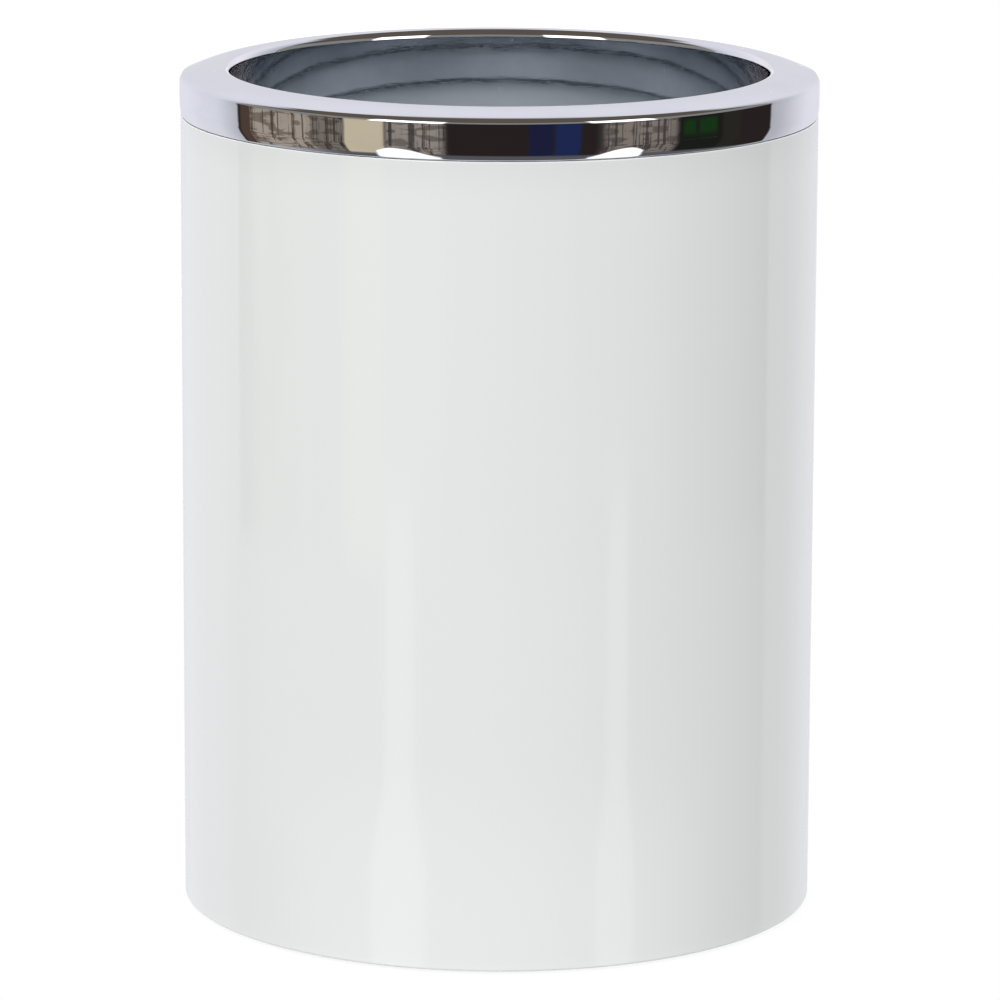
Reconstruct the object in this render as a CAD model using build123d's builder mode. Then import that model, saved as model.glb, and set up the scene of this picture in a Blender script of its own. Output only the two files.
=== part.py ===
from build123d import *
import math
import os

# Pen holder cup: a straight, double-walled desk cup of glossy white plastic with a bright
# plated trim ring round its mouth. It stands on four soft pads.
#
# Frame: millimetres, +Z up, origin on the desk under the centre of the cup. The pads'
# undersides lie at z = 0 and the crest of the trim ring at z = TOTAL_HEIGHT.
# Sections are drawn as (radius, z) on Plane.XZ and revolved about Z.

# ---------------------------------------------------------------- shared dimensions
TOTAL_HEIGHT = 100.0        # desk to the crest of the trim ring
FIT_GAP = 0.05              # radial play of the nested walls
SEAM_GAP = 0.1              # between the ring's band and the sleeve's shoulder
RIM_TOP_Z = 97.6            # top of the sleeve's stepped rim

# ---------------------------------------------------------------- outer sleeve
SLEEVE_RADIUS = 37.5
SLEEVE_WALL = 2.2
SLEEVE_BORE = SLEEVE_RADIUS - SLEEVE_WALL
SLEEVE_FOOT_Z = 0.3         # clearance between the sleeve's lower edge and the desk
SHOULDER_FILLET = 0.12
FOOT_FILLET = 0.3
FOOT_CHAMFER = 0.25
RIM_CHAMFER = 0.2

RIB_COUNT = 6               # centring ribs inside the sleeve
RIB_WIDTH = 1.2
RIB_BOTTOM_Z = 8.0          # rib ends, measured at the liner
RIB_TOP_Z = 92.0
RIB_BOTTOM_SLOPE = 1.0      # how far each end runs on, down or up, at the sleeve
RIB_TOP_SLOPE = 2.0
RIB_EMBED = 0.4             # overlap with the sleeve wall

# ---------------------------------------------------------------- trim ring
RING_PROUD = 0.1            # the band stands out from the body by this much
RING_RADIUS = SLEEVE_RADIUS + RING_PROUD
BAND_HEIGHT = 5.5           # crest to the band's lower edge
BAND_WALL = 1.3
BAND_BORE = RING_RADIUS - BAND_WALL
BAND_BOTTOM_Z = TOTAL_HEIGHT - BAND_HEIGHT
BAND_EDGE_FILLET = 0.22

TURN_HEIGHT = 0.88          # the band turns in over this height at its lower edge
TURN_ANGLE = 9.0            # degrees
TURN_BLEND = 7.2
TURN_Z = BAND_BOTTOM_Z + TURN_HEIGHT
TURN_RADIUS = RING_RADIUS - TURN_HEIGHT * math.tan(math.radians(TURN_ANGLE))

MOUTH_RADIUS = 31.65        # where the skirt's bore meets the crown, before rounding
SKIRT_DEPTH = 13.6          # crest to the skirt's lower edge
SKIRT_DRAFT = 0.9           # degrees, the skirt's bore opens upwards
SKIRT_OUTER = 33.0
SKIRT_BORE_BOTTOM = MOUTH_RADIUS - SKIRT_DEPTH * math.tan(math.radians(SKIRT_DRAFT))
SKIRT_BOTTOM_Z = TOTAL_HEIGHT - SKIRT_DEPTH
SKIRT_EDGE_FILLET = 0.55

CROWN_RADIUS = 13.0         # arc across the top of the ring
CREST_RADIUS = 32.9         # distance from the axis where the crown is highest
CROWN_MIDDLE = 34.6         # middle point that fixes the crown's arc
LIP_FILLET = 0.95           # inner edge of the top
RING_SHOULDER_FILLET = 0.65  # outer edge of the top
CEILING_FILLET = 0.03       # corners inside the channel

# ---------------------------------------------------------------- inner liner
LINER_WALL = 1.3
LINER_BORE_TOP = 33.1
LINER_BORE_FLOOR = 32.3
LINER_OUTER_TOP = LINER_BORE_TOP + LINER_WALL
LINER_OUTER_FLOOR = LINER_BORE_FLOOR + LINER_WALL
LINER_COLLAR_Z = 85.8       # the wall is straight above this height, tapered below
LINER_FLOOR_Z = 6.0         # what a pen's tip stands on
LINER_FLOOR_THICKNESS = 1.8
LINER_UNDER_Z = LINER_FLOOR_Z - LINER_FLOOR_THICKNESS
LINER_FLANGE = 0.7          # thickness of the flange that sits on the sleeve's rim
LINER_CORNER = 2.5
FLANGE_FILLET = 0.3         # under the flange

# ---------------------------------------------------------------- base plate and pads
BASE_BOTTOM_Z = 1.0
BASE_TOP_Z = 3.2
BASE_SEAT_WALL = 1.3        # sleeve wall left beside the base plate
BASE_SEAT_RADIUS = SLEEVE_RADIUS - BASE_SEAT_WALL
BASE_RADIUS = BASE_SEAT_RADIUS - FIT_GAP
BASE_FILLET = 0.3
SUPPORT_RADIUS = 27.0       # middle of the upstand that carries the liner's floor
SUPPORT_WIDTH = 1.6
SUPPORT_OUTER = SUPPORT_RADIUS + SUPPORT_WIDTH / 2
SUPPORT_INNER = SUPPORT_RADIUS - SUPPORT_WIDTH / 2
DISH_RADIUS = 15.0
DISH_DEPTH = 0.35
DISH_TAPER = 30             # degrees

PAD_COUNT = 4
PAD_RADIUS = 5.0
PAD_CIRCLE = 26.0           # radius of the circle the pads stand on
PAD_START_ANGLE = 45
PAD_SEAT_DEPTH = 0.5
PAD_SEAT_GAP = 0.1
PAD_THICKNESS = BASE_BOTTOM_Z + PAD_SEAT_DEPTH
PAD_FILLET = 0.25

# ---------------------------------------------------------------- where pieces meet
RIM_RADIUS = BAND_BORE - FIT_GAP          # sleeve rim and liner flange, inside the band
SHOULDER_Z = BAND_BOTTOM_Z - SEAM_GAP     # sleeve's step below the band
CEILING_Z = RIM_TOP_Z + LINER_FLANGE      # top of the flange, where the ring rests


def corner(section, point):
    """The section's vertex nearest to point."""
    return section.vertices().sort_by_distance(point)[0]


def crown_point(radius):
    """Point on the ring's crowned top at this radius."""
    rise = math.sqrt(CROWN_RADIUS**2 - (radius - CREST_RADIUS) ** 2)
    return (radius, TOTAL_HEIGHT - CROWN_RADIUS + rise)


def liner_outer(z):
    """Outside radius of the tapered liner wall at height z."""
    share = (z - LINER_UNDER_Z) / (LINER_COLLAR_Z - LINER_UNDER_Z)
    return LINER_OUTER_FLOOR + (LINER_OUTER_TOP - LINER_OUTER_FLOOR) * share


def make_outer_sleeve():
    """White tube, stepped at the rim for the ring and counterbored at the foot for the base."""
    with BuildPart() as sleeve:
        with BuildSketch(Plane.XZ) as section:
            with BuildLine():
                Polyline(
                    (SLEEVE_BORE, RIM_TOP_Z),
                    (RIM_RADIUS, RIM_TOP_Z),
                    (RIM_RADIUS, SHOULDER_Z),
                    (SLEEVE_RADIUS, SHOULDER_Z),
                    (SLEEVE_RADIUS, SLEEVE_FOOT_Z),
                    (BASE_SEAT_RADIUS, SLEEVE_FOOT_Z),
                    (BASE_SEAT_RADIUS, BASE_TOP_Z),
                    (SLEEVE_BORE, BASE_TOP_Z),
                    close=True,
                )
            make_face()
            fillet(corner(section, (SLEEVE_RADIUS, SHOULDER_Z)), SHOULDER_FILLET)
            fillet(corner(section, (SLEEVE_RADIUS, SLEEVE_FOOT_Z)), FOOT_FILLET)
            chamfer(corner(section, (BASE_SEAT_RADIUS, SLEEVE_FOOT_Z)), FOOT_CHAMFER)
            chamfer(corner(section, (RIM_RADIUS, RIM_TOP_Z)), RIM_CHAMFER)
        revolve(axis=Axis.Z)

        # Ribs that follow the liner's taper and keep it central
        rib_root = SLEEVE_BORE + RIB_EMBED
        for i in range(RIB_COUNT):
            angle = math.radians(i * 360 / RIB_COUNT)
            radial = Plane(
                origin=(0, 0, 0),
                x_dir=(math.cos(angle), math.sin(angle), 0),
                z_dir=(math.sin(angle), -math.cos(angle), 0),
            )
            with BuildSketch(radial):
                with BuildLine():
                    Polyline(
                        (liner_outer(RIB_BOTTOM_Z) + FIT_GAP, RIB_BOTTOM_Z),
                        (rib_root, RIB_BOTTOM_Z - RIB_BOTTOM_SLOPE),
                        (rib_root, RIB_TOP_Z + RIB_TOP_SLOPE),
                        (LINER_OUTER_TOP + FIT_GAP, RIB_TOP_Z),
                        (LINER_OUTER_TOP + FIT_GAP, LINER_COLLAR_Z),
                        close=True,
                    )
                make_face()
            extrude(amount=RIB_WIDTH / 2, both=True)
    return sleeve.part


def make_trim_ring():
    """Upside-down channel: outer band, crowned top and a skirt that lines the mouth."""
    mouth = crown_point(MOUTH_RADIUS)
    shoulder = crown_point(RING_RADIUS)
    turn = (RING_RADIUS, TURN_Z)
    band_outer = (TURN_RADIUS, BAND_BOTTOM_Z)
    band_inner = (BAND_BORE, BAND_BOTTOM_Z)
    ceiling_outer = (BAND_BORE, CEILING_Z)
    ceiling_inner = (SKIRT_OUTER, CEILING_Z)
    skirt_outer = (SKIRT_OUTER, SKIRT_BOTTOM_Z)
    skirt_inner = (SKIRT_BORE_BOTTOM, SKIRT_BOTTOM_Z)

    with BuildPart() as ring:
        with BuildSketch(Plane.XZ) as section:
            with BuildLine():
                crown = ThreePointArc(mouth, crown_point(CROWN_MIDDLE), shoulder)
                Polyline(
                    crown @ 1,
                    turn,
                    band_outer,
                    band_inner,
                    ceiling_outer,
                    ceiling_inner,
                    skirt_outer,
                    skirt_inner,
                    crown @ 0,
                )
            make_face()
            # The order matters: each fillet changes the vertices the next one picks from
            for points, radius in (
                ([mouth], LIP_FILLET),
                ([shoulder], RING_SHOULDER_FILLET),
                ([turn], TURN_BLEND),
                ([band_outer, band_inner], BAND_EDGE_FILLET),
                ([skirt_outer, skirt_inner], SKIRT_EDGE_FILLET),
                ([ceiling_outer, ceiling_inner], CEILING_FILLET),
            ):
                fillet([corner(section, point) for point in points], radius)
        revolve(axis=Axis.Z)
    return ring.part


def make_inner_liner():
    """Thin white cup that hangs by its flange from the sleeve's rim."""
    with BuildPart() as liner:
        with BuildSketch(Plane.XZ) as section:
            with BuildLine():
                Polyline(
                    (0, LINER_UNDER_Z),
                    (LINER_OUTER_FLOOR, LINER_UNDER_Z),
                    (LINER_OUTER_TOP, LINER_COLLAR_Z),
                    (LINER_OUTER_TOP, RIM_TOP_Z),
                    (RIM_RADIUS, RIM_TOP_Z),
                    (RIM_RADIUS, CEILING_Z),
                    (LINER_BORE_TOP, CEILING_Z),
                    (LINER_BORE_TOP, LINER_COLLAR_Z),
                    (LINER_BORE_FLOOR, LINER_FLOOR_Z),
                    (0, LINER_FLOOR_Z),
                    close=True,
                )
            make_face()
            fillet(corner(section, (LINER_BORE_FLOOR, LINER_FLOOR_Z)), LINER_CORNER)
            fillet(
                corner(section, (LINER_OUTER_FLOOR, LINER_UNDER_Z)),
                LINER_CORNER + LINER_WALL,
            )
            fillet(corner(section, (LINER_OUTER_TOP, RIM_TOP_Z)), FLANGE_FILLET)
        revolve(axis=Axis.Z)
    return liner.part


def make_base_plate():
    """Disc in the foot of the sleeve, with an upstand for the liner and seats for the pads."""
    with BuildPart() as base:
        with BuildSketch(Plane.XZ) as section:
            with BuildLine():
                Polyline(
                    (0, BASE_BOTTOM_Z),
                    (BASE_RADIUS, BASE_BOTTOM_Z),
                    (BASE_RADIUS, BASE_TOP_Z),
                    (SUPPORT_OUTER, BASE_TOP_Z),
                    (SUPPORT_OUTER, LINER_UNDER_Z),
                    (SUPPORT_INNER, LINER_UNDER_Z),
                    (SUPPORT_INNER, BASE_TOP_Z),
                    (0, BASE_TOP_Z),
                    close=True,
                )
            make_face()
            fillet(corner(section, (BASE_RADIUS, BASE_BOTTOM_Z)), BASE_FILLET)
        revolve(axis=Axis.Z)

        # Pad seats
        with BuildSketch(Plane.XY.offset(BASE_BOTTOM_Z)):
            with PolarLocations(PAD_CIRCLE, PAD_COUNT, start_angle=PAD_START_ANGLE):
                Circle(PAD_RADIUS + PAD_SEAT_GAP)
        extrude(amount=PAD_SEAT_DEPTH, mode=Mode.SUBTRACT)

        # Shallow dish in the middle of the underside
        with BuildSketch(Plane.XY.offset(BASE_BOTTOM_Z)):
            Circle(DISH_RADIUS)
        extrude(amount=DISH_DEPTH, taper=DISH_TAPER, mode=Mode.SUBTRACT)
    return base.part


def make_foot_pads():
    """Four soft discs, rounded at the desk, that reach up into the base plate's seats."""
    with BuildPart() as pads:
        with BuildSketch(Plane.XY):
            with PolarLocations(PAD_CIRCLE, PAD_COUNT, start_angle=PAD_START_ANGLE):
                Circle(PAD_RADIUS)
        extrude(amount=PAD_THICKNESS)
        fillet(pads.edges().group_by(Axis.Z)[0], PAD_FILLET)
    return pads.part


# ---------------------------------------------------------------- export
pieces = {
    "outer_sleeve": make_outer_sleeve(),
    "trim_ring": make_trim_ring(),
    "inner_liner": make_inner_liner(),
    "base_plate": make_base_plate(),
    "foot_pads": make_foot_pads(),
}
os.makedirs("parts", exist_ok=True)
for name, piece in pieces.items():
    piece.label = name
    export_step(piece, f"parts/{name}.step")
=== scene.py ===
import bpy
import bmesh
import math
from mathutils import Vector, Matrix


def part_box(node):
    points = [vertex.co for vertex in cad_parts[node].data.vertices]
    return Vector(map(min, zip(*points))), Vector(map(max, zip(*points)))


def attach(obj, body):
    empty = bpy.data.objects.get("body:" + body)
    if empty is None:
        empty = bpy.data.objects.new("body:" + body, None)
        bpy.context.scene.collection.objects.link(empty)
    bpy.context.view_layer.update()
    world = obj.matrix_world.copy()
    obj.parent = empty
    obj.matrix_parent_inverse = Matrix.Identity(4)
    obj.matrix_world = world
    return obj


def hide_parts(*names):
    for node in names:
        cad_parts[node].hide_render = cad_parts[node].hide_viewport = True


# A pen holder cup: glossy white double-walled body with a chrome-plated trim ring round its mouth.
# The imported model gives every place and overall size; this script adds the finely turned
# surfaces, the materials, the studio and the camera.  Metres, +Z up.  The cup stands on z = 0
# with its axis on Z; the camera is in front of it, at -Y, so +X is to the right.

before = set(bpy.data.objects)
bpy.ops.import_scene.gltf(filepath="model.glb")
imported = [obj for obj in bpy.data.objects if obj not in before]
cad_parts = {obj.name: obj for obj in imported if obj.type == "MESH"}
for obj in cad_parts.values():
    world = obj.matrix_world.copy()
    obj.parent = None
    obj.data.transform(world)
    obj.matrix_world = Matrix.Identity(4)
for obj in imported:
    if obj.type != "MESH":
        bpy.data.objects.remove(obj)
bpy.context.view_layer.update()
MM = 0.001
TAU = 2 * math.pi
STATIONS = 360              # stations round the axis on the large turned pieces

# ------------------------------------------------------------------ sizes, in mm


def span(node):
    """The low and high corners of one of the frame's pieces, in mm."""
    low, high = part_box(node)
    return [v / MM for v in low], [v / MM for v in high]


ring_low, ring_high = span("trim_ring")
sleeve_low, sleeve_high = span("outer_sleeve")
liner_low, liner_high = span("inner_liner")
PAD_TOP_Z = span("foot_pads")[1][2]

CREST_Z = ring_high[2]
RING_R = ring_high[0]
SKIRT_Z = ring_low[2]
BODY_R = sleeve_high[0]
FOOT_Z = sleeve_low[2]
RIM_Z = sleeve_high[2]
CEILING_Z = liner_high[2]
LINER_UNDER_Z = liner_low[2]

# trim ring
CROWN_ROUND, CREST_R = 13.0, 32.9               # arc of the crowned top and where it crests
MOUTH_R, DRAFT = 31.65, math.tan(math.radians(0.9))
LIP_ROUND, SHOULDER_ROUND = 0.95, 0.65
BAND_Z = CREST_Z - 5.5                          # lower edge of the outer band
TURN_Z, TURN_SLOPE = BAND_Z + 0.88, math.tan(math.radians(9.0))    # where the band turns inward
BAND_BORE, SKIRT_OUT_R = 36.3, 33.0
BAND_STEPS = 14
BARREL_SLOPE = math.tan(math.radians(1.1))      # lean of the barrelled band at its two ends
BARREL_FROM_R = 36.6                            # only points beyond this radius are barrelled

# outer sleeve
SEAT_R = BAND_BORE - 0.05
SHOULDER_Z = BAND_Z - 0.045
SLEEVE_BORE = BODY_R - 2.2
SEAT_BORE, SEAT_TOP_Z = BODY_R - 1.3, 3.2       # counterbore in the foot
RIB_BOTTOM_Z, RIB_TOP_Z = 8.0, 92.0
RIB_HALF, RIB_FLANK, RIB_GAP = 0.6, 0.02, 0.05  # half width, run of each flank, gap to the liner
RIB_PITCH = TAU / 6

# inner liner
COLLAR_Z, FLOOR_Z = 85.8, 6.0
LINER_TOP_R, LINER_FLOOR_R, LINER_WALL = 33.1, 32.3, 1.3
LINER_FOOT_R = LINER_FLOOR_R + LINER_WALL
LINER_COLLAR_R = LINER_TOP_R + LINER_WALL

# foot pads
PAD_R, PAD_CIRCLE_R = 5.0, 26.0

# ------------------------------------------------------------------ turned sections


def arc(centre, radius, start, end, count):
    """Points on an arc, angles in degrees."""
    points = []
    for i in range(count + 1):
        angle = math.radians(start + (end - start) * i / count)
        points.append((centre[0] + radius * math.cos(angle), centre[1] + radius * math.sin(angle)))
    return points


def outline(corners, step=6.0):
    """Dense open section from corners (r, z, fillet radius, mm).  Each round gets facets of about
    step degrees, and each straight run gets a holding loop near its ends so that its shading stays
    truly straight."""
    last = len(corners) - 1
    runs = []
    for i, (r, z, fillet) in enumerate(corners):
        if fillet <= 0 or i in (0, last):
            runs.append([(r, z)])
            continue
        back = Vector(corners[i - 1][:2]) - Vector((r, z))
        ahead = Vector(corners[i + 1][:2]) - Vector((r, z))
        back.normalize()
        ahead.normalize()
        half = math.acos(max(-1.0, min(1.0, back.dot(ahead)))) / 2
        reach = fillet / math.tan(half)
        centre = Vector((r, z)) + (back + ahead).normalized() * (fillet / math.sin(half))
        first, final = Vector((r, z)) + back * reach, Vector((r, z)) + ahead * reach
        start = math.atan2(first.y - centre.y, first.x - centre.x)
        end = math.atan2(final.y - centre.y, final.x - centre.x)
        while end - start > math.pi:
            end -= TAU
        while end - start < -math.pi:
            end += TAU
        fewest = 6 if fillet > 3 else 3
        count = max(fewest, math.ceil(abs(math.degrees(end - start)) / step))
        angles = [start + (end - start) * j / count for j in range(count + 1)]
        runs.append([(centre.x + fillet * math.cos(angle), centre.y + fillet * math.sin(angle))
                     for angle in angles])
    points = []
    for i, run in enumerate(runs):
        points.extend(run)
        if i == last:
            break
        here, there = Vector(run[-1]), Vector(runs[i + 1][0])
        length = (there - here).length
        hold = min(0.06, length * 0.2)
        if length > 0.25:
            for t in (hold / length, 1 - hold / length):
                points.append(tuple(here.lerp(there, t)))
    return points


def tangent_round(start, end, centre, big, fillet):
    """Round between the line start-end (material on its +r side) and the inside of the circle of
    radius big.  Returns (centre, touch on the line, touch on the circle)."""
    start, end, centre = Vector(start), Vector(end), Vector(centre)
    along = (end - start).normalized()
    inward = Vector((along.y, -along.x))
    offset = start + inward * fillet - centre
    lean = offset.dot(along)
    run = -lean + math.sqrt(lean * lean - offset.length_squared + (big - fillet) ** 2)
    middle = start + along * run + inward * fillet
    return middle, start + along * run, centre + (middle - centre).normalized() * big


def angle_to(centre, point):
    return math.degrees(math.atan2(point[1] - centre[1], point[0] - centre[0]))


def even_stations(count):
    return [TAU * i / count for i in range(count)]


def lathe(name, section, closed=True, stations=None, radius_at=None):
    """A turned piece: the section (r, z in mm) swept round +Z into one watertight skin.
    radius_at(index, angle) may give a point's radius instead, for ribs."""
    stations = stations or even_stations(STATIONS)
    shell = bmesh.new()
    rings = []
    for k, (r, z) in enumerate(section):
        if r < 1e-6:
            rings.append([shell.verts.new((0.0, 0.0, z * MM))])
            continue
        row = []
        for angle in stations:
            radius = radius_at(k, angle) if radius_at else r
            place = (radius * MM * math.cos(angle), radius * MM * math.sin(angle), z * MM)
            row.append(shell.verts.new(place))
        rings.append(row)
    count = len(section)
    for k in range(count if closed else count - 1):
        this, following = rings[k], rings[(k + 1) % count]
        around = max(len(this), len(following))
        for i in range(around):
            j = (i + 1) % around
            if len(this) == 1:
                shell.faces.new((this[0], following[i], following[j]))
            elif len(following) == 1:
                shell.faces.new((this[i], following[0], this[j]))
            else:
                shell.faces.new((this[i], following[i], following[j], this[j]))
    bmesh.ops.recalc_face_normals(shell, faces=shell.faces)
    return finish_mesh(name, shell)


def add_object(name, shell):
    """Turn a bmesh into an object in the scene."""
    mesh = bpy.data.meshes.new(name)
    shell.to_mesh(mesh)
    shell.free()
    obj = bpy.data.objects.new(name, mesh)
    bpy.context.scene.collection.objects.link(obj)
    return obj


def finish_mesh(name, shell):
    """A smooth-shaded object that stays sharp at true corners."""
    obj = add_object(name, shell)
    mesh = obj.data
    mesh.polygons.foreach_set("use_smooth", [True] * len(mesh.polygons))
    mesh.set_sharp_from_angle(angle=math.radians(32.0))
    mesh.update()
    return obj


def build_ring():
    """Outer band, crowned top, rounded lip and the skirt that lines the mouth."""
    crown = (CREST_R, CREST_Z - CROWN_ROUND)
    skirt_r = MOUTH_R - (CREST_Z - SKIRT_Z) * DRAFT
    lip, lip_line, lip_crown = tangent_round(
        (skirt_r, SKIRT_Z), (MOUTH_R, CREST_Z), crown, CROWN_ROUND, LIP_ROUND)
    lip_start = angle_to(lip, lip_line)
    if lip_start < 0:
        lip_start += 360
    shoulder_r = RING_R - SHOULDER_ROUND
    shoulder_z = crown[1] + math.sqrt(
        (CROWN_ROUND - SHOULDER_ROUND) ** 2 - (shoulder_r - crown[0]) ** 2)
    shoulder = Vector((shoulder_r, shoulder_z))
    shoulder_crown = Vector(crown) + (shoulder - Vector(crown)).normalized() * CROWN_ROUND
    top = arc(lip, LIP_ROUND, lip_start, angle_to(lip, lip_crown), 22)
    top += arc(crown, CROWN_ROUND, angle_to(crown, lip_crown),
               angle_to(crown, shoulder_crown), 26)[1:]
    top += arc(shoulder, SHOULDER_ROUND, angle_to(shoulder, shoulder_crown), 0.0, 20)[1:]
    lower = outline(
        [
            (RING_R, shoulder_z, 0),
            (RING_R, TURN_Z, 7.2),
            (RING_R - (TURN_Z - BAND_Z) * TURN_SLOPE, BAND_Z, 0.22),
            (BAND_BORE, BAND_Z, 0.22),
            (BAND_BORE, CEILING_Z, 0),
            (SKIRT_OUT_R, CEILING_Z, 0),
            (SKIRT_OUT_R, SKIRT_Z, 0.55),
            (skirt_r, SKIRT_Z, 0.55),
            (lip_line[0], lip_line[1], 0),
        ],
        step=5.0,
    )
    # the band is a shallow barrel rather than a true cylinder: a degree either way over its height
    low, high = TURN_Z + 0.57, shoulder_z
    middle, half = (low + high) / 2, (high - low) / 2

    def barrelled(r, z):
        if r < BARREL_FROM_R or z > shoulder_z + SHOULDER_ROUND or z < BAND_Z:
            return (r, z)
        off = abs(z - middle)
        if off <= half:
            return (r - BARREL_SLOPE * off * off / (2 * half), z)
        return (r - BARREL_SLOPE * (off - half / 2), z)

    # even steps down the band take the place of the outline's own points there
    band = [(RING_R, high + (low - high) * i / BAND_STEPS) for i in range(1, BAND_STEPS)]
    rest = [q for q in lower[1:-1] if not (q[0] > RING_R - 1e-9 and q[1] > low + 1e-6)]
    return lathe("Trim_Ring", [barrelled(*q) for q in top + band + rest])


def build_sleeve():
    """Plain tube, stepped rim, counterbored foot, six centring ribs inside."""
    section = outline(
        [
            (SLEEVE_BORE, RIM_Z, 0),
            (SEAT_R - 0.2, RIM_Z, 0),
            (SEAT_R, RIM_Z - 0.2, 0),
            (SEAT_R, SHOULDER_Z, 0),
            (BODY_R, SHOULDER_Z, 0.12),
            (BODY_R, FOOT_Z, 0.3),
            (SEAT_BORE + 0.25, FOOT_Z, 0),
            (SEAT_BORE, FOOT_Z + 0.25, 0),
            (SEAT_BORE, SEAT_TOP_Z, 0),
            (SLEEVE_BORE, SEAT_TOP_Z, 0),
        ]
    )
    # each rib follows the liner's outside; its sloped ends aim at a point inside the wall
    up_liner = (RIB_BOTTOM_Z - LINER_UNDER_Z) / (COLLAR_Z - LINER_UNDER_Z)
    low_r = LINER_FOOT_R + (LINER_COLLAR_R - LINER_FOOT_R) * up_liner + RIB_GAP
    high_r = LINER_COLLAR_R + RIB_GAP
    root_r = SLEEVE_BORE + 0.4
    rib_foot_z = RIB_BOTTOM_Z - (SLEEVE_BORE - low_r) / (root_r - low_r)
    rib_head_z = RIB_TOP_Z + 2.0 * (SLEEVE_BORE - high_r) / (root_r - high_r)
    ribs = [                        # height, radius on the rib
        (rib_foot_z - 0.3, SLEEVE_BORE),
        (rib_foot_z, SLEEVE_BORE),
        (RIB_BOTTOM_Z, low_r),
        (COLLAR_Z, high_r),
        (RIB_TOP_Z, high_r),
        (rib_head_z, SLEEVE_BORE),
        (rib_head_z + 0.3, SLEEVE_BORE),
    ]
    first_wall = len(section)
    section += [(SLEEVE_BORE, z) for z, _ in ribs]
    half = RIB_HALF / high_r
    edge = half + RIB_FLANK / high_r

    def from_rib(angle):
        """Angle from the nearest rib's middle."""
        return abs((angle + RIB_PITCH / 2) % RIB_PITCH - RIB_PITCH / 2)

    # each rib's corners take the place of the even stations either side of its middle
    step = TAU / STATIONS
    stations = []
    for angle in even_stations(STATIONS):
        off = from_rib(angle)
        if 0.5 * step < off < 1.5 * step:
            continue
        stations.append(angle)
        if off <= 0.5 * step:
            stations += [angle - edge, angle - half, angle + half, angle + edge]
    stations.sort()

    def radius_at(k, angle):
        if k >= first_wall and from_rib(angle) < half * 1.002:
            return ribs[k - first_wall][1]
        return section[k][0]

    return lathe("Outer_Sleeve", section, stations=stations, radius_at=radius_at)


def build_liner():
    """Thin cup hanging by its flange, rounded into a flat floor."""
    section = outline(
        [
            (0, LINER_UNDER_Z, 0),
            (LINER_FOOT_R, LINER_UNDER_Z, 3.8),
            (LINER_COLLAR_R, COLLAR_Z, 0),
            (LINER_COLLAR_R, RIM_Z, 0.3),
            (SEAT_R, RIM_Z, 0),
            (SEAT_R, CEILING_Z, 0),
            (LINER_TOP_R, CEILING_Z, 0),
            (LINER_TOP_R, COLLAR_Z, 0),
            (LINER_FLOOR_R, FLOOR_Z, 2.5),
            (0, FLOOR_Z, 0),
        ]
    )
    return lathe("Inner_Liner", section, closed=False)


def build_pads():
    """Four soft discs with rounded lower edges, in one piece as in the frame."""
    corners = [(0, 0, 0), (PAD_R, 0, 0.3), (PAD_R, PAD_TOP_Z, 0.08), (0, PAD_TOP_Z, 0)]
    pad = lathe("Pad_Master", outline(corners, step=10), closed=False, stations=even_stations(72))
    shell = bmesh.new()
    for i in range(4):
        angle = math.radians(45 + 90 * i)
        start = len(shell.verts)
        shell.from_mesh(pad.data)
        shell.verts.ensure_lookup_table()
        reach = PAD_CIRCLE_R * MM
        for vert in shell.verts[start:]:
            vert.co += Vector((reach * math.cos(angle), reach * math.sin(angle), 0))
    bpy.data.objects.remove(pad)
    return finish_mesh("Foot_Pads", shell)


ring = build_ring()
sleeve = build_sleeve()
liner = build_liner()
pads = build_pads()

# ------------------------------------------------------------------ shader node shorthand


class Value:
    """A node's output, so that sums in a shader can be written as sums."""

    def __init__(self, net, socket):
        self.net = net
        self.socket = socket

    def __add__(self, other):
        return self.net.math("ADD", self, other)

    def __sub__(self, other):
        return self.net.math("SUBTRACT", self, other)

    def __rsub__(self, other):
        return self.net.math("SUBTRACT", other, self)

    def __mul__(self, other):
        return self.net.math("MULTIPLY", self, other)

    def __truediv__(self, other):
        return self.net.math("DIVIDE", self, other)

    def __abs__(self):
        return self.net.math("ABSOLUTE", self)


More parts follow.
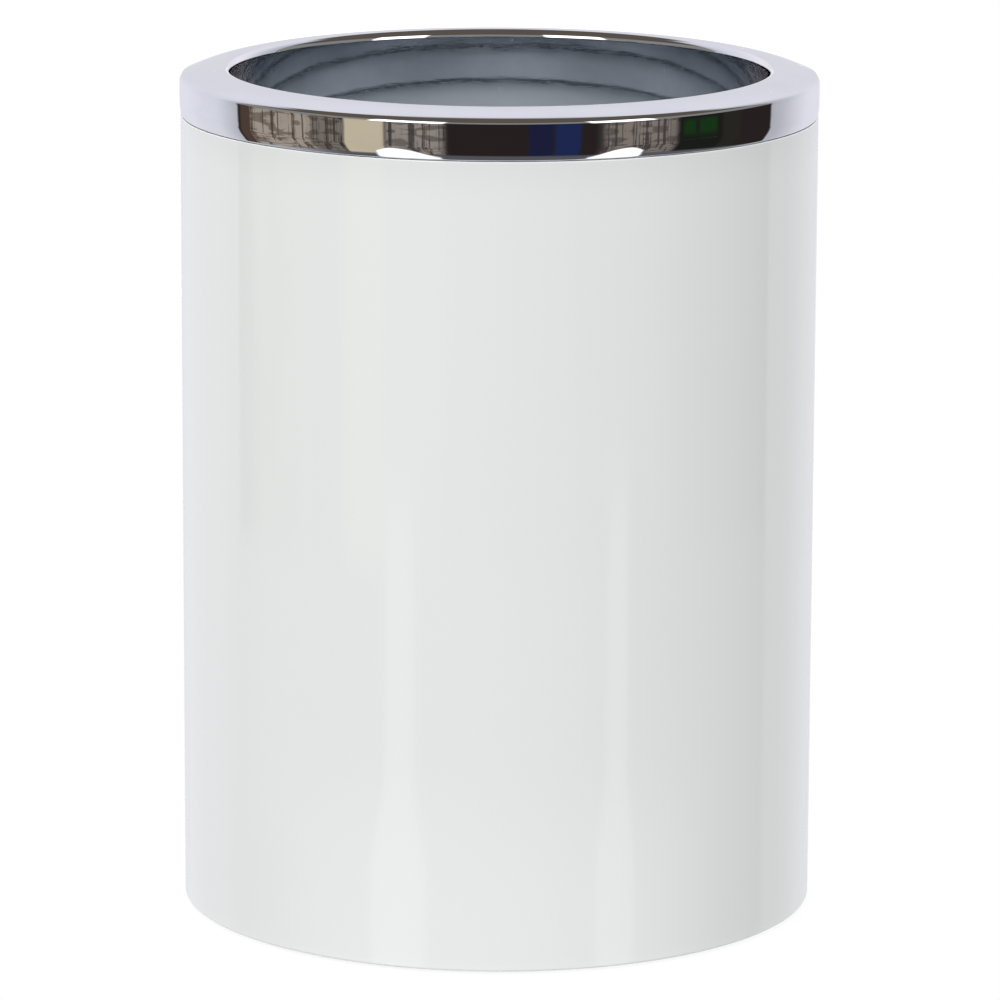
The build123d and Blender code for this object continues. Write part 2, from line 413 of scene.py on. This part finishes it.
class Net:
    """A shader node tree.  Inputs are numbers, tuples or Values; colours are (r, g, b)."""

    def __init__(self, tree):
        self.tree = tree
        tree.nodes.clear()

    def put(self, socket, value):
        if isinstance(value, Value):
            self.tree.links.new(value.socket, socket)
        elif socket.type == "RGBA":
            socket.default_value = (*value, 1)
        else:
            socket.default_value = value

    def add(self, kind, inputs=None, **settings):
        """A new node; inputs maps socket names or numbers to what goes in."""
        node = self.tree.nodes.new("ShaderNode" + kind)
        for key, setting in settings.items():
            setattr(node, key, setting)
        for key, value in (inputs or {}).items():
            self.put(node.inputs[key], value)
        return node

    def out(self, node, output=0):
        return Value(self, node.outputs[output])

    def value(self, kind, inputs=None, output=0, **settings):
        """One output of a new node."""
        return self.out(self.add(kind, inputs, **settings), output)

    def math(self, operation, a, b=0.0):
        return self.value("Math", {0: a, 1: b, 2: 0.0}, operation=operation)

    def ramp(self, value, over, to=(0.0, 1.0)):
        """Smooth change from to[0] to to[1] as value crosses the range over."""
        inputs = {0: value, 1: over[0], 2: over[1], 3: to[0], 4: to[1]}
        return self.value("MapRange", inputs, interpolation_type="SMOOTHSTEP", clamp=True)

    def fall(self, value, over):
        return self.ramp(value, over, to=(1.0, 0.0))

    def band(self, value, ends, soft):
        """1 between the two ends, 0 outside them, softened by this much either way."""
        start, end = ends
        return (self.ramp(value, over=(start - soft, start + soft))
                * self.fall(value, over=(end - soft, end + soft)))

    def mix(self, share, a, b):
        return self.value("Mix", {0: share, 6: a, 7: b}, output=2, data_type="RGBA")

    def noise(self, vector, scale, detail=2.0, rough=0.5):
        inputs = {"Vector": vector, "Scale": scale, "Detail": detail, "Roughness": rough}
        return self.value("TexNoise", inputs, output="Fac")

    def bumps(self, *layers):
        """Bumps one over another, each (height, distance in metres, strength)."""
        below = {}
        for height, distance, strength in layers:
            inputs = {"Height": height, "Distance": distance, "Strength": strength, **below}
            normal = self.value("Bump", inputs)
            below = {"Normal": normal}
        return normal

    def stretch(self, vector, scale):
        return self.value("Mapping", {"Vector": vector, "Scale": scale})

    def specks(self, vector, scale, share, radius):
        """Mask of round specks: this share of the cells holds one, of this radius in cell widths."""
        cells = self.add("TexVoronoi", {"Vector": vector, "Scale": scale})
        red = self.value("SeparateColor", {0: self.out(cells, "Color")})
        chosen = self.math("LESS_THAN", red, share)
        return chosen * self.fall(self.out(cells, "Distance"), over=(radius * 0.6, radius))

    def split(self, vector):
        node = self.add("SeparateXYZ", {0: vector})
        return [self.out(node, i) for i in range(3)]

    def combine(self, x, y, z=0.0):
        return self.value("CombineXYZ", {0: x, 1: y, 2: z})

    def from_axis(self, x, y):
        return self.math("SQRT", x * x + y * y)

    def scaled(self, vector, scale, **settings):
        inputs = {0: vector, "Scale": scale}
        return self.value("VectorMath", inputs, operation="SCALE", **settings)

    def add_vectors(self, a, b):
        return self.value("VectorMath", {0: a, 1: b}, operation="ADD")

    def principled(self, inputs):
        return self.value("BsdfPrincipled", inputs)

    def finish(self, shader):
        self.add("OutputMaterial", {0: shader})


def new_material(name):
    """(material, its emptied net, the object coordinates)."""
    mat = bpy.data.materials.new(name)
    mat.use_nodes = True
    net = Net(mat.node_tree)
    return mat, net, net.value("TexCoord", output="Object")


# ------------------------------------------------------------------ materials


def gloss_white():
    """Polished white moulding: slight tone drift, faint orange peel, hairlines, a few dust specks, and
    a painted shade just under the ring.
    """
    mat, net, where = new_material("Gloss_White_Plastic")
    drift = net.noise(where, scale=22.0, detail=3.0)
    fine = net.noise(where, scale=900.0)
    dust = net.specks(where, scale=42.0, share=0.06, radius=0.011)
    height = net.split(where)[2]
    # painted shade: the white tone darkens towards the ring over the wall's last 6 mm
    painted_shade_under_ring = net.ramp(height, over=((SHOULDER_Z - 6.0) * MM, SHOULDER_Z * MM))
    tone = net.mix(net.ramp(drift, over=(0.3, 0.7)), (0.800, 0.825, 0.812), (0.815, 0.832, 0.823))
    # share of each marking over the plain tone: mottle, dust, and a painted shade just under the ring
    tone = net.mix(fine * 0.03, tone, (0.74, 0.76, 0.75))
    tone = net.mix(dust * 0.8, tone, (0.16, 0.15, 0.14))
    tone = net.mix(net.math("POWER", painted_shade_under_ring, 1.6) * 0.20, tone, (0.60, 0.63, 0.62))
    smear = net.noise(net.stretch(where, scale=(1.0, 1.0, 0.25)), scale=90.0, detail=4.0, rough=0.6)
    hair = net.noise(net.stretch(where, scale=(1.0, 1.0, 0.02)), scale=2600.0, detail=1.0)
    rough = (net.ramp(smear, over=(0.35, 0.75), to=(0.055, 0.11))
             + net.ramp(hair, over=(0.62, 0.8), to=(0.0, 0.05)))
    peel = net.noise(where, scale=240.0, rough=0.45)
    wave = net.noise(where, scale=38.0, detail=1.0)
    net.finish(net.principled({
        "Base Color": tone,
        "Roughness": rough + dust * 0.5,
        "IOR": 1.5,
        "Normal": net.bumps((wave, 0.00004, 0.5), (peel, 0.000006, 0.5)),
    }))
    return mat


def chrome():
    """Bright plating on plastic: cool grey mirror, slow waviness, smears, pin-head nubs and dust, with
    a painted sheen where the bore is seen at a graze and a painted shade at its lower edge.
    """
    mat, net, where = new_material("Chrome_Plating")
    x, y, height = net.split(where)
    arc_length = net.math("ARCTAN2", y, x) * (BODY_R * MM)
    radius = net.from_axis(x, y)
    unrolled = net.combine(arc_length, radius, height)
    bore = net.fall(radius, over=(0.03195, 0.0322))
    smear = net.noise(net.stretch(where, scale=(1.0, 1.0, 2.5)), scale=130.0, detail=5.0, rough=0.6)
    dust = net.specks(where, scale=900.0, share=0.028, radius=0.10)
    lint = net.specks(net.stretch(where, scale=(1.0, 1.0, 0.3)), scale=420.0, share=0.016, radius=0.09)
    specks = net.math("MAXIMUM", dust, lint)
    tone = net.mix(net.ramp(smear, over=(0.35, 0.75)), (0.640, 0.655, 0.680), (0.610, 0.622, 0.650))
    tone = net.mix(specks, tone, (0.85, 0.86, 0.88))
    # painted light in the bore: it is made paler where it is seen at a graze, a painted sheen, and
    # darker at its lower edge, a painted shade
    facing = net.value("LayerWeight", {"Blend": 0.5}, output="Facing")
    tone = net.mix(bore * net.ramp(facing, over=(0.50, 0.75)), tone, (0.785, 0.762, 0.775))
    # painted shade: the bore's colour darkens over its lowest 0.8 mm, at the step where the skirt ends
    painted_shade_lower_edge = bore * net.fall(height, over=((SKIRT_Z + 0.25) * MM, (SKIRT_Z + 0.8) * MM))
    tone = net.mix(painted_shade_lower_edge * 0.75, tone, (0.16, 0.165, 0.175))
    slow = net.noise(net.stretch(where, scale=(1.0, 1.0, 1.6)), scale=95.0, rough=0.4)
    quick = net.noise(where, scale=420.0)
    nubs = net.specks(where, scale=620.0, share=0.035, radius=0.16)
    # fine texture in the bore only
    drawn = net.noise(net.stretch(unrolled, scale=(1.0, 1.0, 6.0)), scale=240.0, detail=3.0, rough=0.6)
    fibre = net.noise(net.stretch(unrolled, scale=(1.0, 1.0, 0.05)), scale=1700.0, rough=0.6)
    net.finish(net.principled({
        "Base Color": tone,
        "Metallic": 1.0 - specks * 0.8,
        "Roughness": net.ramp(smear, over=(0.4, 0.8), to=(0.015, 0.05)) + specks * 0.4,
        "Normal": net.bumps(
            (slow, 0.00003, 0.35),
            (quick, 0.0000035, 0.35),
            (nubs, 0.00002, 0.6),
            (bore * (drawn * 0.4 + fibre * 0.55), 0.0000062, 0.5),
        ),
    }))
    return mat


def satin_white(name, low, high, grain, rough, depth):
    """Unpolished white moulding between two tones: a fine even grain that scatters light."""
    mat, net, where = new_material(name)
    drift = net.noise(where, scale=30.0, detail=3.0)
    texture = net.noise(where, scale=grain, detail=3.0, rough=0.6)
    net.finish(net.principled({
        "Base Color": net.mix(net.ramp(drift, over=(0.3, 0.7)), low, high),
        "Roughness": net.ramp(texture, over=(0.3, 0.7), to=rough),
        "IOR": 1.49,
        "Normal": net.bumps((texture, depth, 0.6)),
    }))
    return mat


def pad_rubber():
    """Soft grey elastomer with a little mottling."""
    mat, net, where = new_material("Pad_Elastomer")
    mottle = net.noise(where, scale=700.0, detail=4.0, rough=0.6)
    blotches = net.ramp(mottle, over=(0.35, 0.7))
    net.finish(net.principled({
        "Base Color": net.mix(blotches, (0.30, 0.31, 0.32), (0.42, 0.43, 0.44)),
        "Roughness": net.ramp(mottle, over=(0.3, 0.7), to=(0.45, 0.7)),
        "Subsurface Weight": 0.15,
        "Subsurface Scale": 0.001,
        "Normal": net.bumps((mottle, 0.00002, 0.5)),
    }))
    return mat


mat_gloss = gloss_white()
mat_chrome = chrome()
mat_liner = satin_white("Satin_White_Liner", low=(0.645, 0.69, 0.725), high=(0.67, 0.71, 0.745),
                        grain=1500.0, rough=(0.32, 0.46), depth=0.000012)
mat_base = satin_white("Matte_White_Base", low=(0.74, 0.76, 0.76), high=(0.78, 0.79, 0.79),
                       grain=1100.0, rough=(0.5, 0.68), depth=0.00003)
mat_pad = pad_rubber()

for obj, mat, node, slot in (
    (ring, mat_chrome, "trim_ring", "plated_trim"),
    (sleeve, mat_gloss, "outer_sleeve", "white_shell"),
    (liner, mat_liner, "inner_liner", "white_liner"),
    (pads, mat_pad, "foot_pads", "pad_rubber"),
):
    obj.data.materials.append(mat)
    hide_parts(node)
    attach(obj, "root")

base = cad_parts["base_plate"]
base.data.materials.clear()
base.data.materials.append(mat_base)

# ------------------------------------------------------------------ studio
# Azimuths and elevations are in degrees: azimuth 0 is in front of the cup, + to the right.
DEGREES = 180 / math.pi
WHITE = (1, 1, 1)
SWEEP = (1.00, 0.995, 1.075)            # colour of the white sweep
TABLE_LIGHT = (0.39, 0.39, 0.39)        # the white table as a light on the cup

# soft light on the cup: broad lobes (azimuth, elevation, tightness, colour)
LOBES = [
    (-160, 25, 8.0, (0.90, 0.90, 0.90)),
    (-115, 25, 8.0, (0.64, 0.64, 0.64)),
    (-50, 25, 8.0, (0.99, 0.99, 0.99)),
    (-30, 25, 8.0, (0.99, 0.99, 0.99)),
    (-10, 25, 8.0, (0.56, 0.56, 0.56)),
    (15, 25, 8.0, (0.53, 0.53, 0.53)),
    (45, 25, 8.0, (0.81, 0.81, 0.81)),
    (75, 25, 8.0, (0.25, 0.25, 0.25)),
    (110, 25, 8.0, (0.56, 0.56, 0.56)),
    (155, 25, 8.0, (1.34, 1.34, 1.35)),
    (-100, 60, 6.0, (0.52, 0.52, 0.52)),
    (-30, 60, 6.0, (0.73, 0.73, 0.73)),
    (45, 60, 6.0, (0.59, 0.59, 0.59)),
    (180, 60, 6.0, (0.96, 0.96, 0.97)),
    (0, 90, 6.0, (0.64, 0.64, 0.64)),
]

# muted upright panels of the room in front, as the plating mirrors them:
# (azimuths, elevations, colour, softness)
PANELS = [
    ((-106, -60), (-40, 7), (0.105, 0.070, 0.052), 1.0),
    ((-57, -41.5), (-40, 30), (0.78, 0.67, 0.48), 0.6),
    ((-40, -20), (-30, 12), (0.075, 0.066, 0.060), 3.0),
    ((10.5, 19), (-40, 12), (0.018, 0.020, 0.059), 0.8),
    ((19.8, 29), (-40, 12), (0.020, 0.032, 0.111), 0.8),
    ((36, 66), (-30, 12), (0.070, 0.062, 0.060), 2.0),
    ((67, 87), (-30, 8), (0.018, 0.018, 0.015), 1.0),
    ((69, 84), (-9.4, -7.2), (0.014, 0.052, 0.013), 0.9),
    ((74, 76), (-9.4, -7.2), (0.020, 0.022, 0.018), 0.4),
    ((87, 96), (-30, 8), (0.032, 0.029, 0.023), 1.5),
]


def toward(azimuth, elevation):
    """Unit vector in a direction given in degrees."""
    a, e = math.radians(azimuth), math.radians(elevation)
    return (math.sin(a) * math.cos(e), -math.cos(a) * math.cos(e), math.sin(e))


def behind(net, azim):
    """1 where the white sweep is, behind and beside the cup."""
    left = net.fall(azim, over=(-108.4, -106.8))
    return net.math("MAXIMUM", left, net.ramp(azim, over=(113.0, 114.6)))


def sweep(net, azim, burnt, elev=None):
    """The white sweep's colour: it darkens towards its front edges and straight behind the cup,
    where it also burns out to white as far as burnt says."""
    left = net.ramp(azim, over=(-125.0, -101.0), to=(1.0, 0.60))
    right = net.ramp(azim, over=(108.0, 146.0), to=(0.60, 1.0))
    side = net.math("LESS_THAN", azim, 0.0)
    level = side * left + (1.0 - side) * right
    dim = net.ramp(abs(azim), over=(145.0, 176.0), to=(1.0, 0.82))
    if elev is not None:
        high = net.ramp(elev, over=(2.0, 36.0))
        dim = dim * (1.0 - high) + high * 1.02
    glare = net.ramp(abs(azim), over=(166.0, 175.0), to=(0.0, 0.6))
    return net.scaled(SWEEP, level * dim + glare * burnt)


def mirrored_room(net, azim, elev):
    """What the plating mirrors: a white sweep behind and beside the cup, a dim ceiling, two tall
    soft lamps in front and a dark studio with a few muted panels between them."""

    def patch(azimuths, elevations, soft, rise=0.6):
        return net.band(azim, azimuths, soft) * net.band(elev, elevations, rise)

    room, ceiling = (0.030, 0.022, 0.0215), (0.150, 0.122, 0.098)
    colour = net.mix(net.ramp(elev, over=(16.0, 44.0)), room, ceiling)
    for azimuths, elevations, tone, soft in PANELS:
        colour = net.mix(patch(azimuths, elevations, soft), colour, tone)
    # clutter: uneven upright bars and ledges, mirrored about the table's far edge
    place = net.combine(azim, abs(elev + 8.2))
    bars = net.noise(net.stretch(place, scale=(0.40, 0.05, 1.0)), scale=1.0, detail=3.0, rough=0.7)
    ledges = net.noise(net.stretch(place, scale=(0.11, 0.85, 1.0)), scale=1.0, detail=1.0)
    clutter = (net.ramp(bars, over=(0.43, 0.50), to=(0.10, 1.0))
               * net.ramp(ledges, over=(0.45, 0.49), to=(0.40, 1.0)))
    for azimuths, soft, strength, tone in (
        ((-100, -57), 1.0, clutter, (0.51, 0.435, 0.36)),
        ((-71, -57), 0.8, 0.52, (0.05, 0.045, 0.04)),
        ((-41, -20), 2.0, clutter, (0.41, 0.35, 0.305)),
        ((38, 66), 2.0, clutter, (0.32, 0.265, 0.225)),
    ):
        colour = net.mix(patch(azimuths, (-30, 7), soft) * strength, colour, tone)
    # a paler strip at eye height all round the front, and the two lamps
    strip = patch((-116, 116), (3, 30), soft=2.0, rise=3.0)
    colour = net.mix(strip, colour, (0.33, 0.325, 0.315))
    lamps = (patch((-47, -20), (-1, 31), soft=1.5, rise=1.5)
             + patch((33, 57), (-1, 31), soft=1.5, rise=1.5))
    colour = net.mix(lamps, colour, (3.0, 3.0, 3.1))
    back = behind(net, azim) * net.fall(elev, over=(44.0, 52.0))
    burnt = net.fall(elev, over=(-1.0, 4.0))
    return net.mix(back, colour, sweep(net, azim, burnt, elev))


def build_world():
    """The mirrored room for glossy rays, broad soft lobes as light, and plain white for the camera."""
    studio = bpy.data.worlds.new("Studio")
    bpy.context.scene.world = studio
    studio.use_nodes = True
    net = Net(studio.node_tree)
    ray = net.add("LightPath")
    direction = net.value("TexCoord", output="Generated")
    x, y, z = net.split(direction)
    azim = net.math("ARCTAN2", x, y * -1.0) * DEGREES
    elev = net.math("ARCSINE", z) * DEGREES
    mirrored = mirrored_room(net, azim, elev)
    lights = []
    for i, (azimuth, elevation, tight, tone) in enumerate(LOBES):
        inputs = {0: direction, 1: toward(azimuth, elevation)}
        dot = net.value("VectorMath", inputs, output="Value", operation="DOT_PRODUCT")
        lobe = net.math("EXPONENT", (dot - 1.0) * tight)
        lights.append(net.scaled(tone, lobe, name=f"lobe_{i}"))
    soft_light = lights[0]
    for light in lights[1:]:
        soft_light = net.add_vectors(soft_light, light)
    colour = net.mix(net.out(ray, "Is Glossy Ray"), soft_light, mirrored)
    colour = net.mix(net.out(ray, "Is Camera Ray"), colour, WHITE)
    net.add("OutputWorld", {0: net.value("Background", {0: colour})})


def sheet(name, x_span, y_span, z, squares=4):
    """A level sheet of squares each way, kept as part of the stage."""
    shell = bmesh.new()
    (x0, x1), (y0, y1) = x_span, y_span
    rows = [[shell.verts.new((x0 + (x1 - x0) * i / squares, y0 + (y1 - y0) * j / squares, z))
             for i in range(squares + 1)] for j in range(squares + 1)]
    for j in range(squares):
        for i in range(squares):
            shell.faces.new((rows[j][i], rows[j][i + 1], rows[j + 1][i + 1], rows[j + 1][i]))
    obj = add_object(name, shell)
    return obj


def floor_material():
    """Pale sheet under the cup that fades into the white surround."""
    mat, net, where = new_material("Pale_Floor")
    far = net.value("VectorMath", {0: where}, output="Value", operation="LENGTH")
    grain = net.noise(where, scale=160.0, detail=3.0)
    tone = net.mix(grain, (0.905, 0.905, 0.91), (0.93, 0.93, 0.935))
    net.finish(net.value("MixShader", {
        0: net.ramp(far, over=(0.012, 0.050)),
        1: net.principled({"Base Color": tone, "Roughness": 0.6}),
        2: net.value("Emission", {0: WHITE}),
    }))
    return mat


def table_material():
    """The white table.  As a light on the cup it's even but for the strip at the foot.  As the
    polished surfaces mirror it, it runs on behind the cup, fades out in front, and carries the two
    lamps' gleams there."""
    mat, net, where = new_material("Pale_Table")
    ray = net.add("LightPath")
    x, y, _ = net.split(where)
    back_x, back_y, back_z = net.split(net.value("NewGeometry", output="Incoming"))
    azim = net.math("ARCTAN2", back_x * -1.0, back_y) * DEGREES
    far = net.from_axis(x, y)
    wide = abs(azim)
    side = net.ramp(wide, over=(55.0, 95.0))
    near = net.fall(far, over=(0.235, 0.265))
    front = net.ramp(far, over=(0.055, 0.15), to=(0.85, 0.0)) + 0.13
    beside = net.ramp(azim, over=(-20.0, 20.0), to=(0.60, 0.20))
    level = side * beside + (1.0 - side) * front

    def gleam(start, end):
        """A lamp's gleam between two angles off the front; its reach is greatest near the outer."""
        tip = end - 0.28 * (end - start)
        across = net.band(wide, (start, end), soft=1.0)
        reach = net.math("MINIMUM", net.ramp(wide, over=(start, tip), to=(0.22, 0.42)),
                         net.ramp(wide, over=(tip, end + 1.0), to=(0.42, 0.30)))
        along = net.fall(far / reach, over=(0.93, 1.07)) * net.ramp(far, over=(0.10, 0.17))
        return across * along

    def streak(at_foot, beyond):
        """The same lamp as an upright wall mirrors it: slim and faint, wider towards the foot.
        Each argument is its two edges, as angles off the front."""
        out_there = net.ramp(far, over=(0.08, 0.13))
        inner = wide - (out_there * (beyond[0] - at_foot[0]) + at_foot[0])
        outer = (out_there * (beyond[1] - at_foot[1]) + at_foot[1]) - wide
        return net.ramp(inner, over=(-2.0, 2.0)) * net.ramp(outer, over=(-1.0, 1.0))

    left = net.math("LESS_THAN", azim, 0.0)
    gleams = gleam(22, 46) * left + gleam(33.5, 54) * (1.0 - left)
    streaks = (streak(at_foot=(26, 46.4), beyond=(30, 41)) * left
               + streak(at_foot=(36.4, 51), beyond=(40.2, 48)) * (1.0 - left))
    # how high on the cup the mirrored ray left: only the ring's top sees the burnt-out part, and
    # the plated ring takes the full gleam, the wall a faint one
    height = net.out(ray, "Ray Length") * back_z
    on_top = net.ramp(height, over=((CREST_Z - 0.95) * MM, (CREST_Z - 0.75) * MM))
    on_ring = net.ramp(height, over=((SHOULDER_Z - 0.3) * MM, (SHOULDER_Z + 0.1) * MM))
    gleams = gleams * on_ring
    streaks = streaks * net.fall(far, over=(0.25, 0.40)) * (1.0 - on_ring)
    light = gleams * 1.65 + streaks * 0.92      # brightness of each
    back = behind(net, azim)
    seen = net.mix(back, net.scaled(SWEEP, level), sweep(net, azim, burnt=on_top))
    seen = net.add_vectors(seen, net.combine(light, light, light))
    # light caught under the foot's rounded edge
    lit = net.mix(net.fall(far, over=(0.0376, 0.0382)), TABLE_LIGHT, WHITE)
    glossy = net.out(ray, "Is Glossy Ray")
    # clear only to glossy rays, beyond the near part in front and between the gleams
    marks = net.math("MAXIMUM", gleams, streaks)
    solid = net.math("MAXIMUM", net.math("MAXIMUM", back, near), marks)
    net.finish(net.value("MixShader", {
        0: net.math("MAXIMUM", solid, 1.0 - glossy),
        1: net.value("BsdfTransparent"),
        2: net.value("Emission", {0: net.mix(glossy, lit, seen)}),
    }))
    mat.cycles.emission_sampling = "NONE"
    return mat


build_world()

floor = sheet("Floor", (-6, 6), (-6, 6), 0.0)
floor.data.materials.append(floor_material())
floor.visible_glossy = False
floor.visible_diffuse = False
# the table as the cup sees it, just under the floor
table_top = sheet("Table", (-0.6, 0.6), (-0.6, 2.5), -0.0003)
table_top.data.materials.append(table_material())
table_top.visible_camera = False
table_top.visible_shadow = False

# ------------------------------------------------------------------ camera
DISTANCE = 19.672 * BODY_R * MM         # in front of the cup's axis
RISE = 2.7962 * BODY_R * MM             # above the ring's crest
YAW, PITCH, ROLL = 0.000331911, 0.20972, 0.00406    # radians: right, down, about the view

cam_data = bpy.data.cameras.new("Camera")
cam = bpy.data.objects.new("Camera", cam_data)
scene = bpy.context.scene
scene.collection.objects.link(cam)
scene.camera = cam
cam_data.sensor_width = 36.0
cam_data.lens = 227.772
cam_data.clip_start = 0.01
cam_data.clip_end = 20.0
cam.rotation_mode = "QUATERNION"
turn, tilt = Matrix.Rotation(-YAW, 4, "Z"), Matrix.Rotation(math.pi / 2 - PITCH, 4, "X")
cam.location = (0.0, -DISTANCE, CREST_Z * MM + RISE)
cam.rotation_quaternion = (turn @ tilt @ Matrix.Rotation(ROLL, 4, "Z")).to_quaternion()

scene.view_settings.view_transform = "Standard"
scene.view_settings.look = "None"
# light that runs round the plated bore needs many mirror bounces
scene.cycles.max_bounces = 36
scene.cycles.glossy_bounces = 32
